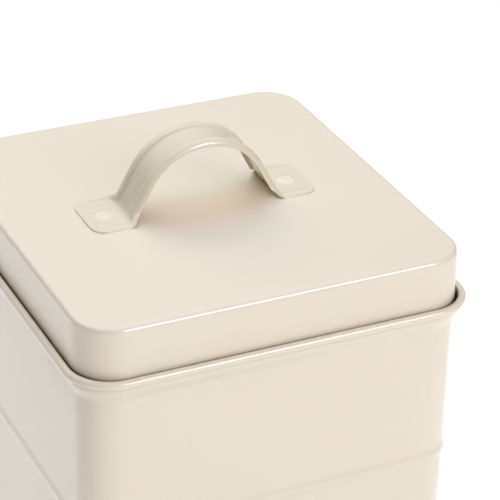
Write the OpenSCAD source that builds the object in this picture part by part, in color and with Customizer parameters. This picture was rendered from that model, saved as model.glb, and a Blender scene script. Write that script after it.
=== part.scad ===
// Bread bin: painted sheet-steel tin with a lift-off lid and a pressed strap handle.
// Origin at the centre of the base, on the surface it stands on. +X runs along the handle, +Z up.

/* [Bin] */
// Width of the straight wall, outside, along X
wall_w = 196.5; // [160:0.5:260]
// Depth of the straight wall, outside, along Y
wall_d = 204.5; // [160:0.5:260]
// Plan radius of the wall's corners, outside
corner_r = 17.5; // [15:0.5:30]
// Height of the rolled rim's top above the surface
rim_z = 264; // [220:1:320]
// Thickness of the bin and lid sheet
sheet_t = 0.6; // [0.5:0.1:0.8]

/* [Rim] */
// Diameter of the rolled rim
curl_d = 4.2; // [3.8:0.1:5]
// How far the wall steps out at the shoulder to make room for the lid
shoulder_step = 2.6; // [2.2:0.1:3.2]
// Height over which the shoulder steps out
shoulder_h = 7.5; // [6:0.5:10]
// Height of the straight collar above the shoulder
collar_h = 7; // [5:0.5:9]
// Diameter of the wire inside the rolled rim
wire_d = 2.8; // [2:0.1:2.8]

/* [Ribs] */
// Number of pressed ribs around the wall
rib_count = 2; // [1:1:2]
// Height of one rib
rib_h = 8; // [6:0.5:10]
// How far a rib stands proud of the wall
rib_out = 1; // [0.6:0.1:1.4]

/* [Base] */
// Height of the base panel's underside above the surface
base_recess = 5; // [4:0.5:8]
// Height of the fold outside the wall
base_hem_h = 4.5; // [3.5:0.5:6]

/* [Lid] */
// Height of the lid's flat top above the rolled rim
lid_rise = 25; // [18:1:32]
// Depth of the skirt below the rolled rim's top
lid_drop = 7.6; // [6:0.2:7.8]
// Radius between the lid's top and its skirt
lid_edge_r = 2.6; // [1.6:0.1:4]
// Draft of the skirt, wider at the bottom
lid_draft = 1.5; // [1:0.1:2.5]
// Height of the hem inside the skirt's lower edge
lid_hem_h = 5; // [3:0.5:8]
// Gap between the skirt and the collar
lid_gap = 0.3; // [0.3:0.05:0.5]
// How much rounder the lid's corners are than the collar's
lid_ease = 2; // [0:0.5:4]

/* [Handle] */
// Overall length, foot to foot
handle_l = 120; // [118:1:126]
// Width across the feet
foot_w = 34; // [30:1:36]
// Width of the pressed arch
arch_w = 25; // [22:0.5:27]
// Radius of the arch, to the middle of the web's thickness
arch_r = 34.4; // [34:0.1:36]
// Height of the arch's centre above the lid
arch_centre_h = 1.5; // [1:0.1:3]
// Slope of the legs above the lid
leg_slope = 62; // [58:1:66]
// Thickness of the handle sheet
handle_t = 0.9; // [0.8:0.1:1]
// Width of one folded edge, seen from above
edge_w = 2.1; // [1.8:0.1:2.4]
// Depth of the folded edges, crest to lower side
edge_depth = 3.4; // [3:0.1:4]
// How far the web lies below the crest of the folded edges
web_sink = 1; // [0.7:0.1:1.2]
// Radius of the bend between leg and foot, to the middle of the thickness
bend_r = 4.5; // [4:0.5:7]
// Plan radius of the feet's corners
foot_corner_r = 7; // [4:0.5:8]

/* [Rivets] */
// Distance of each rivet from the handle's middle
rivet_x = 50; // [49.5:0.5:52]
// Diameter of the rivet head
rivet_head_d = 10; // [8:0.5:10]
// Height of the rivet head
rivet_head_h = 0.7; // [0.5:0.1:1]
// Diameter of the rivet shank
rivet_d = 4; // [3:0.5:4]

/* [Hidden] */
$fn = 96;
cream = [0.93, 0.89, 0.80];
steel = [0.62, 0.62, 0.63];
assembly_gap = 0.1;

// Corner centres of the bin
core_x = wall_w / 2 - corner_r;
core_y = wall_d / 2 - corner_r;

// Rim: radii are measured outward from the corner centres
curl_r = curl_d / 2;
curl_z = rim_z - curl_r;
collar_r = corner_r + shoulder_step;
curl_centre_r = collar_r - sheet_t + curl_r;
curl_open_to = 235;
shoulder_top = rim_z - collar_h;
shoulder_low = shoulder_top - shoulder_h;
shoulder_turn = 2 * atan(shoulder_step / shoulder_h);
shoulder_arc = shoulder_h / (2 * sin(shoulder_turn));

// Ribs divide the wall into equal heights
rib_arc = (rib_h * rib_h / 4 + rib_out * rib_out) / (2 * rib_out);
function rib_z(i) = rim_z * i / (rib_count + 1);

// Base fold
wall_low = sheet_t + 2 * assembly_gap;
panel_r = corner_r - sheet_t - assembly_gap;
hem_r = corner_r + assembly_gap + sheet_t;

// Back seam
seam_w = 6;
seam_t = 0.9;
seam_margin = 4;

// Lid
lid_top = rim_z + lid_rise;
lid_low = rim_z - lid_drop;
lid_r = collar_r - sheet_t - lid_gap + lid_ease;
edge_z = lid_top - lid_edge_r;
edge_centre_r = lid_r - (edge_z - lid_low) * tan(lid_draft) - lid_edge_r / cos(lid_draft);
skirt_l = (edge_z - lid_low) / cos(lid_draft) + lid_edge_r * tan(lid_draft);

// Handle, in its side plane: X along the handle, Y up from the lid
leg_end_x = arch_r * sin(leg_slope);
leg_end_y = arch_centre_h + arch_r * cos(leg_slope);
bend_y = handle_t / 2 + bend_r;
bend_end_y = bend_y - bend_r * cos(leg_slope);
leg_l = (leg_end_y - bend_end_y) / sin(leg_slope);
bend_x = leg_end_x + leg_l * cos(leg_slope) + bend_r * sin(leg_slope);
waist_x = bend_x - bend_r * sin(leg_slope);
arch_steps = 30;
bend_steps = 7;
crest_r = arch_r + web_sink + handle_t / 2;
edge_leg_l = leg_l - 1.5;

// Rivets
hole_gap = 0.05;
tail_d = 7;
tail_h = 0.8;
hole_depth = 4;

// Wedge of a plane from angle a to angle b, used to cut rings
module wedge(a, b, reach) {
    middle = (a + b) / 2;
    spread = reach / cos((b - a) / 2);
    polygon([[0, 0],
             [reach * cos(a), reach * sin(a)],
             [spread * cos(middle), spread * sin(middle)],
             [reach * cos(b), reach * sin(b)]]);
}

// Bent strip of sheet between two radii and two angles
module bent_strip(outer, inner, a, b) {
    intersection() {
        difference() {
            circle(r = outer);
            circle(r = inner);
        }
        wedge(a, b, 2 * outer);
    }
}

// Carries a profile round a rounded rectangle: X is the distance from the corner centres,
// which lie closer to the middle by the inset
module around(inset = 0) {
    side_x = core_x - inset;
    side_y = core_y - inset;
    for (i = [0 : 3]) {
        sign_x = (i == 0 || i == 3) ? 1 : -1;
        sign_y = (i < 2) ? 1 : -1;
        translate([sign_x * side_x, sign_y * side_y, 0])
            rotate([0, 0, 90 * i])
                rotate_extrude(angle = 90) children();
    }
    for (half_turn = [0, 180]) {
        rotate([0, 0, half_turn])
            translate([side_x, 0, 0])
                rotate([90, 0, 0])
                    linear_extrude(height = 2 * side_y, center = true) children();
        rotate([0, 0, half_turn + 90])
            translate([side_y, 0, 0])
                rotate([90, 0, 0])
                    linear_extrude(height = 2 * side_x, center = true) children();
    }
}

// Flat middle that fills the core of a swept plate
module core_plate(z, t, inset = 0) {
    translate([inset - core_x, inset - core_y, z])
        cube([2 * (core_x - inset), 2 * (core_y - inset), t]);
}

// Vertical stretch of the wall in section
module wall_stretch(low, high) {
    translate([corner_r - sheet_t, low]) square([sheet_t, high - low]);
}

// One pressed rib in section
module rib_section(z) {
    intersection() {
        translate([corner_r + rib_out - rib_arc, z])
            difference() {
                circle(r = rib_arc);
                circle(r = rib_arc - sheet_t);
            }
        translate([corner_r - sheet_t, z - rib_h / 2])
            square([sheet_t + 2 * rib_out, rib_h]);
    }
}

// Flared shoulder in section: two equal arcs
module shoulder_section() {
    translate([corner_r + shoulder_arc, shoulder_low])
        bent_strip(shoulder_arc + sheet_t, shoulder_arc, 180 - shoulder_turn, 180);
    translate([collar_r - shoulder_arc, shoulder_top])
        bent_strip(shoulder_arc, shoulder_arc - sheet_t, -shoulder_turn, 0);
}

// Collar and rolled rim in section
module rim_section() {
    translate([collar_r - sheet_t, shoulder_top]) square([sheet_t, curl_z - shoulder_top]);
    translate([curl_centre_r, curl_z])
        difference() {
            circle(r = curl_r);
            circle(r = curl_r - sheet_t);
            wedge(180, curl_open_to, 2 * curl_r);
        }
}

// Folded seam that closes the wrapped sheet, inside the back wall between the ribs
module back_seam() {
    for (i = [0 : rib_count]) {
        low = (i == 0) ? base_recess + seam_margin : rib_z(i) + rib_h / 2 + 1;
        high = (i == rib_count) ? shoulder_low - seam_margin : rib_z(i + 1) - rib_h / 2 - 1;
        translate([-seam_w / 2, wall_d / 2 - sheet_t - seam_t, low])
            cube([seam_w, seam_t + sheet_t / 2, high - low]);
    }
}

module body_wall() {
    color(cream) {
        around() {
            for (i = [0 : rib_count]) {
                low = (i == 0) ? wall_low : rib_z(i) + rib_h / 2;
                high = (i == rib_count) ? shoulder_low : rib_z(i + 1) - rib_h / 2;
                wall_stretch(low, high);
            }
            for (i = [1 : rib_count]) {
                rib_section(rib_z(i));
            }
            shoulder_section();
            rim_section();
        }
        back_seam();
    }
}

module rim_wire() {
    color(steel)
        around() translate([curl_centre_r, curl_z]) circle(d = wire_d);
}

module base_panel() {
    color(cream) {
        core_plate(base_recess, sheet_t);
        around() {
            translate([0, base_recess]) square([panel_r, sheet_t]);
            translate([panel_r - sheet_t, 0]) square([sheet_t, base_recess + sheet_t]);
            translate([panel_r - sheet_t, 0]) square([hem_r - panel_r + sheet_t, sheet_t]);
            translate([hem_r - sheet_t, 0]) square([sheet_t, base_hem_h]);
        }
    }
}

// Drafted skirt and its hem in section, drawn from the edge radius's centre
module skirt_section() {
    rotate(lid_draft)
        polygon([[lid_edge_r, 0],
                 [lid_edge_r, -skirt_l],
                 [lid_edge_r - 2 * sheet_t, -skirt_l],
                 [lid_edge_r - 2 * sheet_t, lid_hem_h - skirt_l],
                 [lid_edge_r - sheet_t, lid_hem_h - skirt_l],
                 [lid_edge_r - sheet_t, 0]]);
}

module lid_pan() {
    color(cream)
        difference() {
            union() {
                core_plate(lid_top - sheet_t, sheet_t, lid_ease);
                around(lid_ease) {
                    translate([0, lid_top - sheet_t]) square([edge_centre_r, sheet_t]);
                    translate([edge_centre_r, edge_z]) {
                        bent_strip(lid_edge_r, lid_edge_r - sheet_t, lid_draft, 90);
                        skirt_section();
                    }
                }
            }
            rivet_holes();
        }
}

// Puts children in the handle's side plane, on the lid's top
module side_plane() {
    translate([0, 0, lid_top]) rotate([90, 0, 0]) children();
}

// Points along an arc from angle a to angle b
function arc_points(x, y, r, a, b, steps) =
    [for (i = [0 : steps]) [x + r * cos(a + (b - a) * i / steps),
                            y + r * sin(a + (b - a) * i / steps)]];

// The strap's sheet seen from the side: foot, bend, leg, arch and back down
module strap_profile() {
    half_t = handle_t / 2;
    polygon(concat(
        [[-handle_l / 2, 0], [-handle_l / 2, handle_t]],
        arc_points(-bend_x, bend_y, bend_r - half_t, -90, leg_slope - 90, bend_steps),
        arc_points(0, arch_centre_h, arch_r + half_t, 90 + leg_slope, 90 - leg_slope, arch_steps),
        arc_points(bend_x, bend_y, bend_r - half_t, -90 - leg_slope, -90, bend_steps),
        [[handle_l / 2, handle_t], [handle_l / 2, 0]],
        arc_points(bend_x, bend_y, bend_r + half_t, -90, -90 - leg_slope, bend_steps),
        arc_points(0, arch_centre_h, arch_r - half_t, 90 - leg_slope, 90 + leg_slope, arch_steps),
        arc_points(-bend_x, bend_y, bend_r + half_t, leg_slope - 90, -90, bend_steps)));
}

// One foot seen from above, widening from the arch, with rounded corners
module foot_plan() {
    polygon([[waist_x - 1, -arch_w / 2],
             [waist_x, -arch_w / 2],
             [bend_x, -foot_w / 2],
             [bend_x, foot_w / 2],
             [waist_x, arch_w / 2],
             [waist_x - 1, arch_w / 2]]);
    translate([bend_x, -foot_w / 2])
        square([handle_l / 2 - foot_corner_r - bend_x, foot_w]);
    translate([bend_x, foot_corner_r - foot_w / 2])
        square([handle_l / 2 - bend_x, foot_w - 2 * foot_corner_r]);
    for (side = [-1, 1]) {
        translate([handle_l / 2 - foot_corner_r, side * (foot_w / 2 - foot_corner_r)])
            circle(r = foot_corner_r);
    }
}

// The whole strap seen from above: feet and the web between the folded edges
module strap_plan() {
    web_edge = (arch_w - edge_w) / 2;
    translate([-waist_x, -web_edge]) square([2 * waist_x, 2 * web_edge]);
    foot_plan();
    mirror([1, 0]) foot_plan();
}

// Folded edge seen from the side: arch and both legs, deeper than the sheet
module edge_profile() {
    lower_r = crest_r - edge_depth;
    polygon(concat(
        [leg_point(-1, crest_r)],
        arc_points(0, arch_centre_h, crest_r, 90 + leg_slope, 90 - leg_slope, arch_steps),
        [leg_point(1, crest_r), leg_point(1, lower_r)],
        arc_points(0, arch_centre_h, lower_r, 90 - leg_slope, 90 + leg_slope, arch_steps),
        [leg_point(-1, lower_r)]));
}

// Lower end of a leg at distance r from the arch's centre line
function leg_point(side, r) =
    [side * (r * sin(leg_slope) + edge_leg_l * cos(leg_slope)),
     arch_centre_h + r * cos(leg_slope) - edge_leg_l * sin(leg_slope)];

module folded_edge() {
    translate([0, edge_w - arch_w / 2, 0])
        side_plane() linear_extrude(height = edge_w) edge_profile();
}

module lid_handle() {
    color(cream)
        difference() {
            union() {
                intersection() {
                    side_plane()
                        linear_extrude(height = foot_w, center = true) strap_profile();
                    translate([0, 0, lid_top - 1])
                        linear_extrude(height = 2 * arch_r) strap_plan();
                }
                folded_edge();
                mirror([0, 1, 0]) folded_edge();
            }
            rivet_holes();
        }
}

module rivet_holes() {
    for (side = [-1, 1]) {
        translate([side * rivet_x, 0, lid_top - hole_depth / 2])
            cylinder(h = hole_depth, d = rivet_d + 2 * hole_gap);
    }
}

// Flat-headed rivet through the handle's foot and the lid
module rivet() {
    head_z = lid_top + handle_t;
    tail_z = lid_top - sheet_t;
    color(cream)
        rotate_extrude()
            polygon([[0, tail_z - tail_h],
                     [tail_d / 2, tail_z - tail_h],
                     [tail_d / 2, tail_z],
                     [rivet_d / 2, tail_z],
                     [rivet_d / 2, head_z],
                     [rivet_head_d / 2, head_z],
                     [rivet_head_d / 2 - rivet_head_h, head_z + rivet_head_h],
                     [0, head_z + rivet_head_h]]);
}

module left_handle_rivet() {
    translate([-rivet_x, 0, 0]) rivet();
}

module right_handle_rivet() {
    translate([rivet_x, 0, 0]) rivet();
}

body_wall();
rim_wire();
base_panel();
lid_pan();
lid_handle();
left_handle_rivet();
right_handle_rivet();
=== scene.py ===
"""Bread bin: gloss cream steel tin with a rolled rim, a lift-off lid and a pressed strap handle.

Shapes are worked out in millimetres, in the CAD frame, and become metres when a mesh is made.
"""

import math

import bmesh
import bpy
import numpy as np
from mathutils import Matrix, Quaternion, Vector


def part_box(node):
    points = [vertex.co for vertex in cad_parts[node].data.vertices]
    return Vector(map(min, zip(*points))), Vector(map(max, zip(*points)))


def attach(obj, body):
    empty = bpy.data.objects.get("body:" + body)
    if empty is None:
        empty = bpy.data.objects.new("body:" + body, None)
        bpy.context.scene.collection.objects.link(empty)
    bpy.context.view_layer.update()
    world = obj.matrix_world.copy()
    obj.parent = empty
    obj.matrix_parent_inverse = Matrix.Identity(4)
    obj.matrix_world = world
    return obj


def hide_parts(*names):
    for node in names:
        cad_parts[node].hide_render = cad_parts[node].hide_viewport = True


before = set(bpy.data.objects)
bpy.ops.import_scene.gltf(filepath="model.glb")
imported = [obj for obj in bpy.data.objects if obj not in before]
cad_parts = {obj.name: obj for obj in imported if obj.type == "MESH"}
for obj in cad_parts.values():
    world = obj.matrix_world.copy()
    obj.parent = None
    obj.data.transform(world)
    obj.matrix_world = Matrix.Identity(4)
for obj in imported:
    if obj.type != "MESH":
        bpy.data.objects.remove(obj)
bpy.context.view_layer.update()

MM = 0.001
SHEET = 0.6
HALF_SHEET = SHEET / 2

# Rounded rectangle that the bin's sheets follow. Section radii are measured from its corner
# centres. The lid's corner centres lie closer to the middle by LID_EASE.
WALL_R = 17.5
RIM_OUT_R = 23.7
LID_EASE = 2.0
wall_low, wall_high = [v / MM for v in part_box("body_wall")]
panel_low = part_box("base_panel")[0] / MM
lid_low, lid_high = [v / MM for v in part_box("lid_pan")]
handle_low, handle_high = [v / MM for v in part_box("lid_handle")]
CORE_X = wall_high.x - RIM_OUT_R
CORE_Y = wall_high.y - RIM_OUT_R
RIM_Z = wall_high.z
LID_TOP = lid_high.z

# Camera: where it looks on the lid's plane, and from where
AIM = (2.46, -58.17)
CAMERA_AZIMUTH = 26.092
CAMERA_ELEVATION = 29.011
CAMERA_ROLL = 1.716
CAMERA_DISTANCE = 1085.5
CAMERA_LENS = 163.76
SENSOR_WIDTH = 36

# Studio, in metres: where the lights point, the surrounding light, the floor
LIGHT_AIM = (0, 0, 0.2)
WORLD_TINT = (1.0, 0.88, 0.69, 1)
WORLD_STRENGTH = 0.245
FLOOR_HALF = 4.0
FLOOR_TONE = (0.96, 0.96, 0.96, 1)
FLOOR_ROUGHNESS = 0.9


# ---------------------------------------------------------------- camera, light, floor

def make_camera():
    data = bpy.data.cameras.new("camera")
    data.lens = CAMERA_LENS
    data.sensor_width = SENSOR_WIDTH
    camera = bpy.data.objects.new("camera", data)
    bpy.context.scene.collection.objects.link(camera)
    azimuth, elevation = math.radians(CAMERA_AZIMUTH), math.radians(CAMERA_ELEVATION)
    forward = Vector((math.sin(azimuth) * math.cos(elevation),
                      math.cos(azimuth) * math.cos(elevation),
                      -math.sin(elevation)))
    target = Vector((AIM[0], AIM[1], LID_TOP)) * MM
    camera.location = target - forward * CAMERA_DISTANCE * MM
    level = forward.to_track_quat("-Z", "Y")
    camera.rotation_mode = "QUATERNION"
    camera.rotation_quaternion = level @ Quaternion((0, 0, 1), math.radians(CAMERA_ROLL))
    bpy.context.scene.camera = camera


def soft_box(name, azimuth, elevation, distance, width, height, watts, tint):
    """Area light; azimuth turns from the front (-Y) towards +X, as seen from the object."""
    data = bpy.data.lights.new(name, "AREA")
    data.shape = "RECTANGLE"
    data.size = width
    data.size_y = height
    data.energy = watts
    data.color = tint
    light = bpy.data.objects.new(name, data)
    bpy.context.scene.collection.objects.link(light)
    a, e = math.radians(azimuth), math.radians(elevation)
    towards = Vector((math.sin(a) * math.cos(e), -math.cos(a) * math.cos(e), math.sin(e)))
    light.location = Vector(LIGHT_AIM) + towards * distance
    light.rotation_mode = "QUATERNION"
    light.rotation_quaternion = towards.to_track_quat("Z", "Y")
    return light


def make_lights():
    """Big soft boxes light the paint; a narrow strip only draws highlights on edges and rolls.

    The tints were fitted together to the photo's patches, so no single one has a meaning.
    """
    for box in (soft_box("front_box", 15, 25, 1.9, 1.6, 1.4, 19.2, (0.99, 1.0, 0.98)),
                soft_box("low_back_box", 180, 38, 1.9, 1.8, 0.9, 21.7, (1.0, 0.81, 0.72)),
                soft_box("top_back_box", 180, 65, 1.7, 1.4, 1.2, 12.1, (0.54, 0.93, 1.0)),
                soft_box("overhead_box", 0, 88, 1.6, 1.8, 1.8, 11.2, (0.86, 0.74, 1.0))):
        box.visible_glossy = False
    strip = soft_box("highlight_strip", 23, 34, 1.8, 0.6, 0.22, 11.0, (1.0, 1.0, 1.0))
    strip.visible_diffuse = False
    world = bpy.data.worlds.new("studio")
    bpy.context.scene.world = world
    world.use_nodes = True
    background = world.node_tree.nodes["Background"]
    background.inputs["Color"].default_value = WORLD_TINT
    background.inputs["Strength"].default_value = WORLD_STRENGTH
    bpy.context.scene.view_settings.view_transform = "Standard"


def make_floor():
    half = FLOOR_HALF
    mesh = bpy.data.meshes.new("floor")
    mesh.from_pydata([(-half, -half, 0), (half, -half, 0), (half, half, 0), (-half, half, 0)],
                     [], [(0, 1, 2, 3)])
    floor = bpy.data.objects.new("floor", mesh)
    bpy.context.scene.collection.objects.link(floor)
    material = bpy.data.materials.new("studio_floor")
    material.use_nodes = True
    shader = material.node_tree.nodes["Principled BSDF"]
    shader.inputs["Base Color"].default_value = FLOOR_TONE
    shader.inputs["Roughness"].default_value = FLOOR_ROUGHNESS
    mesh.materials.append(material)


# ---------------------------------------------------------------- materials

class Nodes:
    """Short forms for building one material's node tree."""

    def __init__(self, name):
        self.material = bpy.data.materials.new(name)
        self.material.use_nodes = True
        self.tree = self.material.node_tree
        self.shader = self.tree.nodes["Principled BSDF"]
        self.place = self.new("ShaderNodeTexCoord").outputs["Object"]

    def new(self, kind, **settings):
        node = self.tree.nodes.new(kind)
        for key, value in settings.items():
            setattr(node, key, value)
        return node

    def feed(self, socket, value):
        if isinstance(value, bpy.types.NodeSocket):
            self.tree.links.new(value, socket)
        else:
            socket.default_value = value

    def noise(self, scale, detail=2.0, rough=0.5, stretch=(1, 1, 1)):
        mapping = self.new("ShaderNodeMapping")
        self.feed(mapping.inputs["Vector"], self.place)
        mapping.inputs["Scale"].default_value = stretch
        node = self.new("ShaderNodeTexNoise")
        self.feed(node.inputs["Vector"], mapping.outputs["Vector"])
        node.inputs["Scale"].default_value = scale
        node.inputs["Detail"].default_value = detail
        node.inputs["Roughness"].default_value = rough
        return node.outputs["Fac"]

    def spread(self, value, low, high, to_low=0.0, to_high=1.0):
        node = self.new("ShaderNodeMapRange", interpolation_type="SMOOTHSTEP")
        self.feed(node.inputs["Value"], value)
        node.inputs["From Min"].default_value = low
        node.inputs["From Max"].default_value = high
        node.inputs["To Min"].default_value = to_low
        node.inputs["To Max"].default_value = to_high
        return node.outputs["Result"]

    def times(self, a, b):
        node = self.new("ShaderNodeMath", operation="MULTIPLY")
        self.feed(node.inputs[0], a)
        self.feed(node.inputs[1], b)
        return node.outputs[0]

    def plus(self, a, b):
        node = self.new("ShaderNodeMath", operation="ADD")
        self.feed(node.inputs[0], a)
        self.feed(node.inputs[1], b)
        return node.outputs[0]

    def mix(self, amount, a, b):
        node = self.new("ShaderNodeMix", data_type="RGBA")
        self.feed(node.inputs[0], amount)
        self.feed(node.inputs[6], a)
        self.feed(node.inputs[7], b)
        return node.outputs[2]

    def attribute(self, name):
        return self.new("ShaderNodeAttribute", attribute_name=name).outputs["Fac"]

    def bump(self, height, strength, distance, under=None):
        node = self.new("ShaderNodeBump")
        self.feed(node.inputs["Height"], height)
        node.inputs["Strength"].default_value = strength
        node.inputs["Distance"].default_value = distance
        if under is not None:
            self.feed(node.inputs["Normal"], under)
        return node.outputs["Normal"]


CREAM = (0.80, 0.73, 0.62, 1)
CREAM_WARM = (0.80, 0.715, 0.595, 1)
HANDLE_CREAM = (0.74, 0.68, 0.555, 1)
HANDLE_WARM = (0.745, 0.67, 0.535, 1)
# Lighter cream for edges: paint thinning and painted highlight.
CREAM_THIN_AND_SHEEN = (0.86, 0.80, 0.70, 1)
# Dark tone for specks and for painted shade in folds and creases.
GRIME_AND_SHADE_TONE = (0.42, 0.37, 0.27, 1)
# Near black for the painted shadow in the gap between lid and rim.
GAP_SHADOW_TONE = (0.05, 0.04, 0.02, 1)


def powder_coat(name, peel=1.0, fold_shade_amount=0.10, cream=CREAM, warm=CREAM_WARM):
    """Cream coat: drifting tone; lighter edges, roll crests and rivet crowns (paint thinning and a
    painted highlight); painted shade in folds, creases and under the strap; a near-black painted
    shadow in the gap between lid and rim; dark specks; orange peel."""
    n = Nodes(name)
    drift = n.spread(n.noise(14, 3.0), 0.3, 0.7)
    tone = n.mix(n.times(drift, 0.55), cream, warm)
    # Edges, roll crests and the rivet crown go lighter: paint thinning and a painted highlight.
    thin_paint_and_sheen = n.times(n.attribute("edge"), n.spread(n.noise(160, 4.0), 0.35, 0.65, 0.35, 1.0))
    tone = n.mix(n.times(thin_paint_and_sheen, 0.25), tone, CREAM_THIN_AND_SHEEN)
    # Folds, creases, the strap's underside and the skirt inside the rim go darker: painted shade,
    # with a grimy mottle and more roughness.
    fold_shade = n.times(n.attribute("fold"), n.spread(n.noise(70, 5.0, 0.6), 0.3, 0.7, 0.4, 1.0))
    tone = n.mix(n.times(fold_shade, fold_shade_amount), tone, GRIME_AND_SHADE_TONE)
    specks = n.spread(n.noise(950, 2.0), 0.70, 0.78)
    tone = n.mix(n.times(specks, 0.10), tone, GRIME_AND_SHADE_TONE)
    # Near-black painted shadow in the gap between the lid's skirt and the rim.
    gap_shadow = n.times(n.attribute("gap"), n.spread(n.noise(90, 3.0), 0.2, 0.7, 0.5, 0.8))
    tone = n.mix(gap_shadow, tone, GAP_SHADOW_TONE)
    n.feed(n.shader.inputs["Base Color"], tone)
    haze = n.spread(n.noise(30, 4.0), 0.3, 0.75, 0.29, 0.35)
    n.feed(n.shader.inputs["Roughness"], n.plus(haze, n.times(fold_shade, 0.25)))
    n.shader.inputs["IOR"].default_value = 1.5
    n.shader.inputs["Coat Weight"].default_value = 1.0
    n.shader.inputs["Coat IOR"].default_value = 1.65
    n.shader.inputs["Coat Roughness"].default_value = 0.28
    peel_small = n.bump(n.noise(620, 2.0), 0.06 * peel, 0.0002)
    n.feed(n.shader.inputs["Normal"], n.bump(n.noise(120, 2.0), 0.07 * peel, 0.0006, peel_small))
    return n.material


def drawn_steel(name):
    """Bright drawn wire: fine lengthwise scratches and dull spots."""
    n = Nodes(name)
    spots = n.spread(n.noise(220, 4.0), 0.45, 0.75)
    n.feed(n.shader.inputs["Base Color"],
           n.mix(spots, (0.62, 0.61, 0.59, 1), (0.40, 0.38, 0.36, 1)))
    n.shader.inputs["Metallic"].default_value = 1.0
    scratches = n.noise(300, 5.0, 0.65, stretch=(1, 1, 8))
    n.feed(n.shader.inputs["Roughness"], n.spread(scratches, 0.3, 0.7, 0.25, 0.5))
    n.feed(n.shader.inputs["Normal"], n.bump(scratches, 0.25, 0.0001))
    return n.material


# ---------------------------------------------------------------- section lines

def arc(centre_x, centre_y, radius, start, end, steps):
    """Points on a circle from one angle to another, in degrees."""
    angles = np.radians(np.linspace(start, end, steps + 1))
    return np.column_stack([centre_x + radius * np.cos(angles),
                            centre_y + radius * np.sin(angles)])


def join(*pieces):
    """One line from several, without repeated points."""
    line = np.vstack([np.asarray(p, float).reshape(-1, 2) for p in pieces])
    keep = np.r_[True, np.linalg.norm(np.diff(line, axis=0), axis=1) > 1e-4]
    return line[keep]


def fill(line, step):
    """Adds points so that no stretch is longer than step."""
    out = [line[:1]]
    for a, b in zip(line[:-1], line[1:]):
        parts = max(1, math.ceil(np.linalg.norm(b - a) / step))
        out.append(a + (b - a) * np.linspace(0, 1, parts + 1)[1:, None])
    return np.vstack(out)


def normals_of(line):
    """Unit normals to the right of the way the line runs."""
    legs = np.diff(line, axis=0)
    legs /= np.linalg.norm(legs, axis=1)[:, None]
    along = np.vstack([legs[:1], legs[:-1] + legs[1:], legs[-1:]])
    along /= np.linalg.norm(along, axis=1)[:, None]
    return np.column_stack([along[:, 1], -along[:, 0]])


def bulge(line, low, high, out):
    """Pressed rib: pushes a wall line outward between two heights with soft edges."""
    z = line[:, 1]
    t = np.clip((z - low) / (high - low), 0, 1)
    line = line.copy()
    line[:, 0] += out * np.sin(math.pi * t) ** 2
    return line


# ---------------------------------------------------------------- meshes

def smooth_pieces(t, low, high):
    """Soft step from 0 at low to 1 at high."""
    t = np.clip((t - low) / (high - low), 0, 1)
    return t * t * (3 - 2 * t)


RIPPLE_WAVES = (150, 95, 62, 41)


def ripple(a, b, seed):
    """Slow unevenness of pressed sheet, from -1 to 1, over two directions in mm."""
    rng = np.random.default_rng(seed)
    total = np.zeros_like(a)
    for wave in RIPPLE_WAVES:
        turn = rng.uniform(0, 2 * math.pi)
        phase = rng.uniform(0, 2 * math.pi)
        along = a * math.cos(turn) + b * math.sin(turn)
        total += np.sin(2 * math.pi * along / wave + phase) * wave
    return total / sum(RIPPLE_WAVES)


class Loop:
    """Stations round the rounded rectangle: a base point on the core and the way outward."""

    def __init__(self, step=5.0, arc_steps=16, fine_at_back=(), inset=0.0):
        base, out = [], []
        core_x, core_y = CORE_X - inset, CORE_Y - inset
        corners = [(1, -1, 1, 1), (1, 1, -1, 1), (-1, 1, -1, -1), (-1, -1, 1, -1)]
        for side, (ax, ay, bx, by) in enumerate(corners):
            start = np.array([ax * core_x, ay * core_y])
            end = np.array([bx * core_x, by * core_y])
            length = np.linalg.norm(end - start)
            cuts = list(np.linspace(0, 1, math.ceil(length / step) + 1))
            if side == 1:
                cuts = sorted(set(cuts) | {0.5 - x / length for x in fine_at_back})
            for t in cuts:
                base.append(start + (end - start) * t)
                out.append(90 * side)
            for k in range(1, arc_steps):
                base.append(end)
                out.append(90 * side + 90 * k / arc_steps)
        self.base = np.array(base)
        angle = np.radians(out)
        self.out = np.column_stack([np.cos(angle), np.sin(angle)])
        self.count = len(base)

    def rings(self, section):
        """Vertices of the section at every station: array (points, stations, 3)."""
        xy = self.base[None] + section[:, 0][:, None, None] * self.out[None]
        z = np.broadcast_to(section[:, 1][:, None, None], xy.shape[:2] + (1,))
        return np.concatenate([xy, z], axis=2)

    def cap(self, z):
        """Plate inside the core: grid vertices, its faces, and each station's grid vertex."""
        xs = np.unique(np.round(self.base[:, 0], 5))
        ys = np.unique(np.round(self.base[:, 1], 5))
        grid = np.array([(x, y, z) for y in ys for x in xs])
        wide = len(xs)
        faces = [(r * wide + c, r * wide + c + 1, (r + 1) * wide + c + 1, (r + 1) * wide + c)
                 for r in range(len(ys) - 1) for c in range(wide - 1)]
        column = np.searchsorted(xs, np.round(self.base[:, 0], 5))
        row = np.searchsorted(ys, np.round(self.base[:, 1], 5))
        return grid, faces, row * wide + column


def strip_faces(rows, count, closed_rows):
    faces = []
    for i in range(rows if closed_rows else rows - 1):
        a, b = i * count, ((i + 1) % rows) * count
        for j in range(count):
            k = (j + 1) % count
            faces.append((a + j, a + k, b + k, b + j))
    return faces


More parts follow.
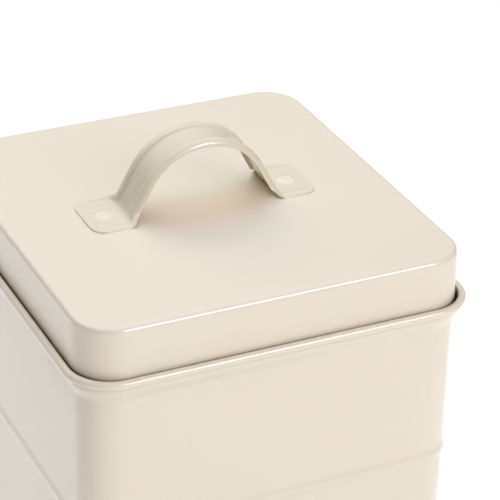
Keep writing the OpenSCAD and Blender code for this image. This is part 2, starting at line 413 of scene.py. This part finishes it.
def make_piece(name, verts, faces, material, marks=None, sharp=35):
    """Mesh object from vertices in mm, smooth except across sharp edges."""
    mesh = bpy.data.meshes.new(name)
    mesh.from_pydata([tuple(v) for v in np.asarray(verts) * MM], [], faces)
    mesh.validate()
    for key in ("edge", "fold", "gap"):
        values = (marks or {}).get(key)
        layer = mesh.attributes.new(key, "FLOAT", "POINT")
        if values is not None:
            layer.data.foreach_set("value", np.asarray(values, np.float32))
    mesh.materials.append(material)
    obj = bpy.data.objects.new(name, mesh)
    bpy.context.scene.collection.objects.link(obj)
    mesh.polygons.foreach_set("use_smooth", [True] * len(mesh.polygons))
    mesh.set_sharp_from_angle(angle=math.radians(sharp))
    return obj


def face_outward(obj):
    """Turns every face to the outside of a closed mesh."""
    bm = bmesh.new()
    bm.from_mesh(obj.data)
    bmesh.ops.recalc_face_normals(bm, faces=bm.faces)
    bm.to_mesh(obj.data)
    bm.free()


# ---------------------------------------------------------------- bin

CURL_R = 2.1
COLLAR_R = WALL_R + 2.6
CURL_CENTRE_R = COLLAR_R - SHEET + CURL_R
CURL_Z = RIM_Z - CURL_R
SHOULDER_TOP = RIM_Z - 7
SHOULDER_LOW = SHOULDER_TOP - 7.5
RIB_H = 8
RIB_OUT = 1.0
RIB_MIDDLES = (RIM_Z / 3, 2 * RIM_Z / 3)
SEAM_HALF = 3.0
SEAM_T = 0.9


def wall_section():
    """Middle of the wall's sheet, from the fold at the base to the end of the rolled rim."""
    mid = WALL_R - HALF_SHEET
    straight = fill(join([(mid, wall_low.z), (mid, SHOULDER_LOW)]), 1.0)
    for z in RIB_MIDDLES:
        straight = bulge(straight, z - RIB_H / 2, z + RIB_H / 2, RIB_OUT)
    near_rib = np.min([abs(straight[:, 1] - z) for z in RIB_MIDDLES], axis=0) < RIB_H
    every_fourth = np.arange(len(straight)) % 4 == 0
    straight = straight[near_rib | every_fourth | (np.arange(len(straight)) == len(straight) - 1)]
    t = np.linspace(0, 1, 13)[1:]
    shoulder = np.column_stack([mid + (COLLAR_R - WALL_R) * t * t * (3 - 2 * t),
                                SHOULDER_LOW + (SHOULDER_TOP - SHOULDER_LOW) * t])
    collar = [(COLLAR_R - HALF_SHEET, CURL_Z - 2)]
    curl = arc(CURL_CENTRE_R, CURL_Z, CURL_R - HALF_SHEET, 180, -120, 40)
    return join(straight, shoulder, collar, curl)


def make_wall(material):
    """Wall, shoulder and rolled rim as one closed sheet, with ribs and a seam in the back."""
    section = wall_section()
    right = normals_of(section)
    outside = section + right * HALF_SHEET
    inside = section - right * HALF_SHEET
    closed = np.vstack([outside, inside[::-1]])
    groove = (-5, -4.2, -3.6, -3.3, -3, -2.7, -2.4, -1.8, -1, 0, 1, 2, 2.6, 3, 3.4, 4.2)
    loop = Loop(5.0, 18, fine_at_back=groove)
    rings = loop.rings(closed)
    x, y, z = rings[..., 0], rings[..., 1], rings[..., 2]
    on_face = (np.abs(loop.out).max(axis=1) > 0.999)[None]
    calm = smooth_pieces(z, 4, 30) * (1 - smooth_pieces(z, SHOULDER_LOW - 30, SHOULDER_LOW))
    along = np.where(np.abs(loop.out[:, 0]) > 0.5, y, x)
    reach = np.where(np.abs(loop.out[:, 0]) > 0.5, CORE_Y, CORE_X)
    calm = calm * (1 - smooth_pieces(np.abs(along) / reach, 0.55, 1.0)) * on_face
    side = np.round(np.degrees(np.arctan2(loop.out[:, 1], loop.out[:, 0])) / 90)[None] * 57.0
    wave = 0.14 * calm * (1 + ripple(along + side, z, 11))
    rings[..., :2] -= loop.out[None] * wave[..., None]
    at_back = (loop.out[:, 1] > 0.99)[None]
    clear = smooth_pieces(z, 6, 8) * (1 - smooth_pieces(z, SHOULDER_LOW - 6, SHOULDER_LOW - 2))
    is_outside = (np.arange(len(closed)) < len(outside))[:, None]
    line = np.exp(-((x - SEAM_HALF) / 0.35) ** 2) * at_back * clear
    rings[..., 1] -= 0.28 * line * is_outside
    fold = (1 - smooth_pieces(np.abs(x), SEAM_HALF - 0.2, SEAM_HALF + 0.2)) * at_back * clear
    for rib in RIB_MIDDLES:
        fold = fold * smooth_pieces(np.abs(z - rib), RIB_H / 2, RIB_H / 2 + 3)
    rings[..., 1] -= SEAM_T * fold * ~is_outside
    # Lighter rim crest: paint thinning and painted highlight.
    edge = np.exp(-((z - RIM_Z) / 1.2) ** 2)
    out = np.linalg.norm(rings[..., :2] - loop.base[None], axis=2)
    # Painted shade under the curl, at the foot of the wall and in the seam.
    under_curl = (out > COLLAR_R) * np.exp(-((z - CURL_Z + 2.0) / 0.7) ** 2)
    fold_shade = under_curl + np.exp(-((z - panel_low.z - 5) / 3) ** 2)
    # Painted shadow on the collar's inner face, in the gap round the lid.
    gap = (z > SHOULDER_TOP) * (1 - smooth_pieces(out, CURL_CENTRE_R - 1.75, CURL_CENTRE_R - 1.35))
    obj = make_piece("bin_wall", rings.reshape(-1, 3),
                     strip_faces(len(closed), loop.count, True), material,
                     {"edge": edge.ravel(), "fold": (fold_shade + line).clip(0, 1).ravel(),
                      "gap": gap.ravel()})
    face_outward(obj)
    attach(obj, "bin")
    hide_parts("body_wall")


def plate_piece(name, middle, loop, material, warp=None, marks=None):
    """Closed sheet from its middle line, which starts near the core and ends at a raw edge."""
    right = normals_of(middle)
    left_face = middle - right * HALF_SHEET
    right_face = middle + right * HALF_SHEET
    section = np.vstack([left_face, right_face[::-1]])
    rings = loop.rings(section)
    verts = [rings.reshape(-1, 3)]
    faces = strip_faces(len(section), loop.count, False)
    start = len(verts[0])
    for row in (0, len(section) - 1):
        grid, grid_faces, meets = loop.cap(section[row, 1])
        verts.append(grid)
        faces += [tuple(start + v for v in f) for f in grid_faces]
        for j in range(loop.count):
            k = (j + 1) % loop.count
            ring = [row * loop.count + j, row * loop.count + k]
            hub = [start + meets[k], start + meets[j]]
            faces.append(tuple(ring + (hub if hub[0] != hub[1] else hub[:1])))
        start += len(grid)
    verts = np.vstack(verts)
    rest = verts.copy()
    if warp is not None:
        verts = warp(verts)
    obj = make_piece(name, verts, faces, material, marks(rest) if marks else None)
    face_outward(obj)
    return obj


PANEL_Z = 5.0
PANEL_R = WALL_R - SHEET - 0.1
HEM_R = WALL_R + 0.1 + SHEET
HEM_H = 4.5


def make_base(material):
    """Panel with a shallow pressed step, folded down, under and up round the foot of the wall."""
    inner = PANEL_R - HALF_SHEET
    outer = HEM_R - HALF_SHEET
    fold = (outer - inner) / 2
    bend = 1.2
    z = PANEL_Z + HALF_SHEET
    t = np.linspace(0, 1, 9)
    step = np.column_stack([7 + 3 * t, z + 0.7 * (1 - t * t * (3 - 2 * t))])
    middle = join([(0.5, z + 0.7), (4, z + 0.7)], step,
                  arc(inner - bend, z - bend, bend, 90, 0, 6),
                  arc(inner + fold, HALF_SHEET + fold, fold, 180, 360, 12),
                  [(outer, HEM_H)])

    def marks(v):
        # Painted shade where the hem meets the wall; the bottom edge is lighter, paint thinning and
        # painted highlight.
        hem_fold_shade = np.exp(-((v[:, 2] - HEM_H) / 0.8) ** 2)
        return {"edge": np.exp(-(v[:, 2] / 0.5) ** 2), "fold": hem_fold_shade}

    obj = plate_piece("bin_base", fill(middle, 2.5), Loop(6.0, 14), material, marks=marks)
    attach(obj, "bin")
    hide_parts("base_panel")


# ---------------------------------------------------------------- lid

LID_EDGE_R = 2.6
LID_DRAFT = 1.5
LID_R = COLLAR_R - SHEET - 0.3 + LID_EASE
LID_CORE_X = CORE_X - LID_EASE
LID_CORE_Y = CORE_Y - LID_EASE
HEM_FOLD_R = 0.36
LID_HEM_H = 5.0


def make_lid(material):
    """Flat-topped pan: soft top edge, skirt with a little draft, lower edge folded inside."""
    draft = math.radians(LID_DRAFT)
    edge_z = LID_TOP - LID_EDGE_R
    centre_r = LID_R - (edge_z - lid_low.z) * math.tan(draft) - LID_EDGE_R / math.cos(draft)
    bend = LID_EDGE_R - HALF_SHEET
    fold_z = lid_low.z + HALF_SHEET + HEM_FOLD_R
    fold_r = LID_R - HALF_SHEET - HEM_FOLD_R
    by_rim = [(LID_R - HALF_SHEET - (RIM_Z + h - lid_low.z) * math.tan(draft), RIM_Z + h)
              for h in (1.0, 0.6, 0.3, 0, -0.3, -0.6, -0.9, -1.2, -1.6, -2.2, -3.2)]
    middle = join([(0.5, LID_TOP - HALF_SHEET)],
                  arc(centre_r, edge_z, bend, 90, LID_DRAFT, 16),
                  by_rim,
                  arc(fold_r, fold_z, HEM_FOLD_R, 0, -180, 10),
                  [(fold_r - HEM_FOLD_R - LID_HEM_H * math.tan(draft), fold_z + LID_HEM_H)])

    def warp(v):
        x, y, z = v[:, 0], v[:, 1], v[:, 2]
        top = smooth_pieces(z, LID_TOP - 1.5, LID_TOP - 0.7)
        reach = np.maximum(np.abs(x) / (LID_CORE_X + 12), np.abs(y) / (LID_CORE_Y + 12))
        calm_edge = 1 - smooth_pieces(reach, 0.72, 1.0)
        feet = np.exp(-((np.abs(x) - 50) / 22) ** 2 - (y / 26) ** 2)
        v = v.copy()
        v[:, 2] -= 0.11 * top * calm_edge * (1 - feet) * (1 + ripple(x, y, 5))
        side = 1 - top
        skirt = smooth_pieces(LID_TOP - z, 3, 9) * (1 - smooth_pieces(LID_TOP - z, 18, 26)) * side
        for axis, core in ((0, LID_CORE_X), (1, LID_CORE_Y)):
            other = v[:, 1 - axis]
            calm_end = 1 - smooth_pieces(np.abs(other) / core, 0.7, 1)
            face = (np.abs(v[:, axis]) > core + 10) * calm_end
            dent = 0.08 * skirt * face * (1 + ripple(other, z, 7 + axis))
            v[:, axis] -= np.sign(v[:, axis]) * dent
        return v

    def marks(v):
        # Lighter top edge: paint thinning and painted highlight. The skirt darkens inside the rim
        # as painted shade, and a near-black painted shadow lies along the rim, stronger on the left
        # and right sides.
        edge = np.exp(-((v[:, 2] - LID_TOP + 1.0) / 0.9) ** 2)
        out = np.maximum(np.abs(v[:, 0]) - LID_CORE_X, np.abs(v[:, 1]) - LID_CORE_Y)
        edge = edge * smooth_pieces(out, centre_r - 1, centre_r + 1.5)
        gap_shadow_by_side = 0.35 + 0.65 * smooth_pieces(np.abs(v[:, 0]) - LID_CORE_X, 8, 18)
        return {"edge": 0.5 * edge,
                "fold": 0.6 - 0.6 * smooth_pieces(v[:, 2], RIM_Z - 0.5, RIM_Z + 1.0),
                "gap": gap_shadow_by_side * (1 - smooth_pieces(v[:, 2], RIM_Z - 1.1, RIM_Z - 0.3))}

    middle = fill(middle, 2.2)
    obj = plate_piece("lid_pressing", middle, Loop(4.5, 20, inset=LID_EASE), material, warp, marks)
    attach(obj, "lid")
    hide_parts("lid_pan")


# ---------------------------------------------------------------- handle

FOOT_W = handle_high.y - handle_low.y
HANDLE_HALF_L = handle_high.x
HANDLE_T = 0.9
ARCH_R = 34.4
ARCH_CENTRE_H = 1.5
ARCH_HALF_W = 12.5
LEG_SLOPE = 62
BEND_R = 4.5
FOOT_CORNER_R = 7.0
WEB_SINK = 1.0
WEB_DIP = 0.3
ROLL_R = 2.9
FLANGE_H = 0.05
RIDGE_H = 0.38


def handle_line():
    """Middle of the strap from the side, foot to foot: X along the handle, Y up from the lid."""
    slope = math.radians(LEG_SLOPE)
    leg_x, leg_y = ARCH_R * math.sin(slope), ARCH_CENTRE_H + ARCH_R * math.cos(slope)
    bend_y = HANDLE_T / 2 + BEND_R
    leg = (leg_y - bend_y + BEND_R * math.cos(slope)) / math.sin(slope)
    bend_x = leg_x + leg * math.cos(slope) + BEND_R * math.sin(slope)
    half = join([(HANDLE_HALF_L, HANDLE_T / 2)],
                arc(bend_x, bend_y, BEND_R, -90, -90 - LEG_SLOPE, 16),
                arc(0, ARCH_CENTRE_H, ARCH_R, 90 - LEG_SLOPE, 90, 40))
    line = np.vstack([half * (-1, 1), half[-2::-1]])
    return fill(line, 0.9), bend_x


def across_arch():
    """Half of the arch's section: Y across, height above the web's middle."""
    roll_y = ARCH_HALF_W - HANDLE_T / 2 - ROLL_R
    roll_h = WEB_SINK - ROLL_R
    meet = 180 - math.degrees(math.asin((-WEB_DIP - roll_h) / ROLL_R))
    roll = arc(roll_y, roll_h, ROLL_R, meet, 0, 24)
    return join([(0, -WEB_DIP)], roll, [(roll_y + ROLL_R, roll_h - FLANGE_H)])


def by_length(line, count):
    """count points evenly spaced along a line."""
    travelled = np.r_[0, np.cumsum(np.linalg.norm(np.diff(line, axis=0), axis=1))]
    wanted = np.linspace(0, travelled[-1], count)
    return np.column_stack([np.interp(wanted, travelled, line[:, i]) for i in (0, 1)])


def blur(values, passes):
    for _ in range(passes):
        middle = (values[:-2] + 2 * values[1:-1] + values[2:]) / 4
        values = np.vstack([values[:1], middle, values[-1:]])
    return values


def make_handle(material):
    """Strap lofted along its side line: channel on the arch, flat with soft ridges on the feet."""
    line, bend_x = handle_line()
    legs = -normals_of(line)
    half = blur(by_length(across_arch(), 50), 2)
    section = np.vstack([half[:0:-1] * (-1, 1), half])
    share = np.linspace(-1, 1, len(section))
    x = np.abs(line[:, 0])
    height = line[:, 1]
    formed = smooth_pieces(height, 0.5, 5.5)
    ridge = RIDGE_H * (1 - formed) * (1 - smooth_pieces(x, bend_x, bend_x + 15))
    ridge_at = 0.72 + 0.09 * (1 - formed)
    end = np.clip(FOOT_CORNER_R - (HANDLE_HALF_L - x), 0, FOOT_CORNER_R)
    tuck = FOOT_CORNER_R - np.sqrt(FOOT_CORNER_R ** 2 - end ** 2)
    foot_half = FOOT_W / 2 - tuck
    w = formed[:, None]
    side = (1 - w) * share[None] * foot_half[:, None] + w * section[:, 0][None]
    lift = w * section[:, 1][None]
    lift = lift + ridge[:, None] * np.exp(-((np.abs(share)[None] - ridge_at[:, None]) / 0.07) ** 2)
    mid = np.stack([line[:, 0][:, None] + legs[:, 0][:, None] * lift,
                    side,
                    height[:, None] + legs[:, 1][:, None] * lift], axis=2)
    along = np.gradient(mid, axis=0)
    across = np.gradient(mid, axis=1)
    normal = np.cross(along, across)
    normal /= np.linalg.norm(normal, axis=2)[..., None]
    outer = mid + normal * HANDLE_T / 2
    inner = mid - normal * HANDLE_T / 2
    inner[..., 2] = np.maximum(inner[..., 2], 0.0)
    rows, cols = mid.shape[:2]
    verts = np.concatenate([outer.reshape(-1, 3), inner.reshape(-1, 3)])
    verts[:, 2] += LID_TOP
    low = rows * cols
    faces = []
    for i in range(rows - 1):
        for j in range(cols - 1):
            a = i * cols + j
            faces.append((a, a + 1, a + cols + 1, a + cols))
            faces.append((low + a, low + a + cols, low + a + cols + 1, low + a + 1))
    rim = ([(0, j) for j in range(cols)]
           + [(i, cols - 1) for i in range(1, rows)]
           + [(rows - 1, j) for j in range(cols - 2, -1, -1)]
           + [(i, 0) for i in range(rows - 2, 0, -1)])
    ids = [i * cols + j for i, j in rim]
    for a, b in zip(ids, ids[1:] + ids[:1]):
        faces.append((a, low + a, low + b, b))
    # Lighter roll crests and foot edges: paint thinning and painted highlight.
    crest = np.exp(-((np.abs(side) - ARCH_HALF_W + 3.3) / 1.5) ** 2) * formed[:, None]
    foot_edge = smooth_pieces(np.abs(share), 0.96, 1.0)[None] * np.ones((rows, 1))
    edge = np.concatenate([(crest + foot_edge).clip(0, 1).ravel()] * 2)
    # Painted shade in the creases and on the strap's whole underside.
    crease = np.exp(-((np.abs(side) - 6.7) / 0.5) ** 2) * formed[:, None]
    fold = np.concatenate([crease.ravel(), (0.6 * formed[:, None] * np.ones((1, cols))).ravel()])
    obj = make_piece("lid_strap_handle", verts, faces, material, {"edge": edge, "fold": fold})
    face_outward(obj)
    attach(obj, "lid")
    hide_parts("lid_handle")


# ---------------------------------------------------------------- rivets

def make_rivet(node, material):
    """Low domed head with a set mark, shank, and a flattened tail under the lid."""
    low, high = [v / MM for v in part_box(node)]
    centre_x, head_r = (low.x + high.x) / 2, (high.x - low.x) / 2
    foot = LID_TOP + HANDLE_T
    head_h = high.z - foot
    under = LID_TOP - SHEET
    tail_h = under - low.z
    head = [(head_r, 0.0), (head_r * 0.98, 0.05), (head_r * 0.92, 0.16), (head_r * 0.84, 0.36),
            (head_r * 0.74, 0.62), (head_r * 0.62, 0.86), (head_r * 0.5, 0.98), (head_r * 0.4, 1.0),
            (head_r * 0.3, 0.93), (head_r * 0.2, 0.8), (head_r * 0.1, 0.7), (0, 0.68)]
    head = [(r, foot + share * head_h) for r, share in head]
    tail = [(0, low.z), (2.6, low.z), (3.3, low.z + 0.3 * tail_h),
            (3.5, low.z + 0.6 * tail_h), (3.5, under)]
    shank = 1.95
    line = join(tail, [(shank, under), (shank, foot)], head)
    turns = 48
    angle = np.linspace(0, 2 * math.pi, turns, endpoint=False)
    verts = [(centre_x, 0, line[0, 1])]
    for r, z in line[1:-1]:
        verts += [(centre_x + r * math.cos(a), r * math.sin(a), z) for a in angle]
    verts.append((centre_x, 0, line[-1, 1]))
    faces = []
    rows = len(line) - 2
    for i in range(rows - 1):
        for j in range(turns):
            k = (j + 1) % turns
            a = 1 + i * turns
            faces.append((a + j, a + k, a + turns + k, a + turns + j))
    for j in range(turns):
        k = (j + 1) % turns
        faces.append((0, 1 + k, 1 + j))
        last = 1 + (rows - 1) * turns
        faces.append((last + j, last + k, len(verts) - 1))
    verts = np.array(verts)
    reach = np.hypot(verts[:, 0] - centre_x, verts[:, 1]) / head_r
    # A lighter ring on the crown is a painted highlight; a darker ring round the head's foot is
    # painted shade.
    marks = {"edge": 0.4 * np.exp(-((reach - 0.4) / 0.2) ** 2),
             "fold": 0.25 * smooth_pieces(reach, 0.85, 1.0)}
    obj = make_piece(node + "_head", verts, faces, material, marks, sharp=50)
    face_outward(obj)
    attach(obj, "lid")
    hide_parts(node)


def finish_wire(material):
    """The rim's wire keeps its CAD shape and gets drawn steel."""
    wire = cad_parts["rim_wire"]
    wire.data.materials.clear()
    wire.data.materials.append(material)


make_camera()
make_lights()
make_floor()
bin_paint = powder_coat("bin_powder_coat")
make_wall(bin_paint)
make_base(bin_paint)
make_lid(powder_coat("lid_powder_coat"))
make_handle(powder_coat("handle_powder_coat", peel=0.7, fold_shade_amount=0.22,
                        cream=HANDLE_CREAM, warm=HANDLE_WARM))
rivet_paint = powder_coat("rivet_powder_coat", peel=0.6, fold_shade_amount=0.2)
for rivet_node in ("left_handle_rivet", "right_handle_rivet"):
    make_rivet(rivet_node, rivet_paint)
finish_wire(drawn_steel("drawn_wire_steel"))
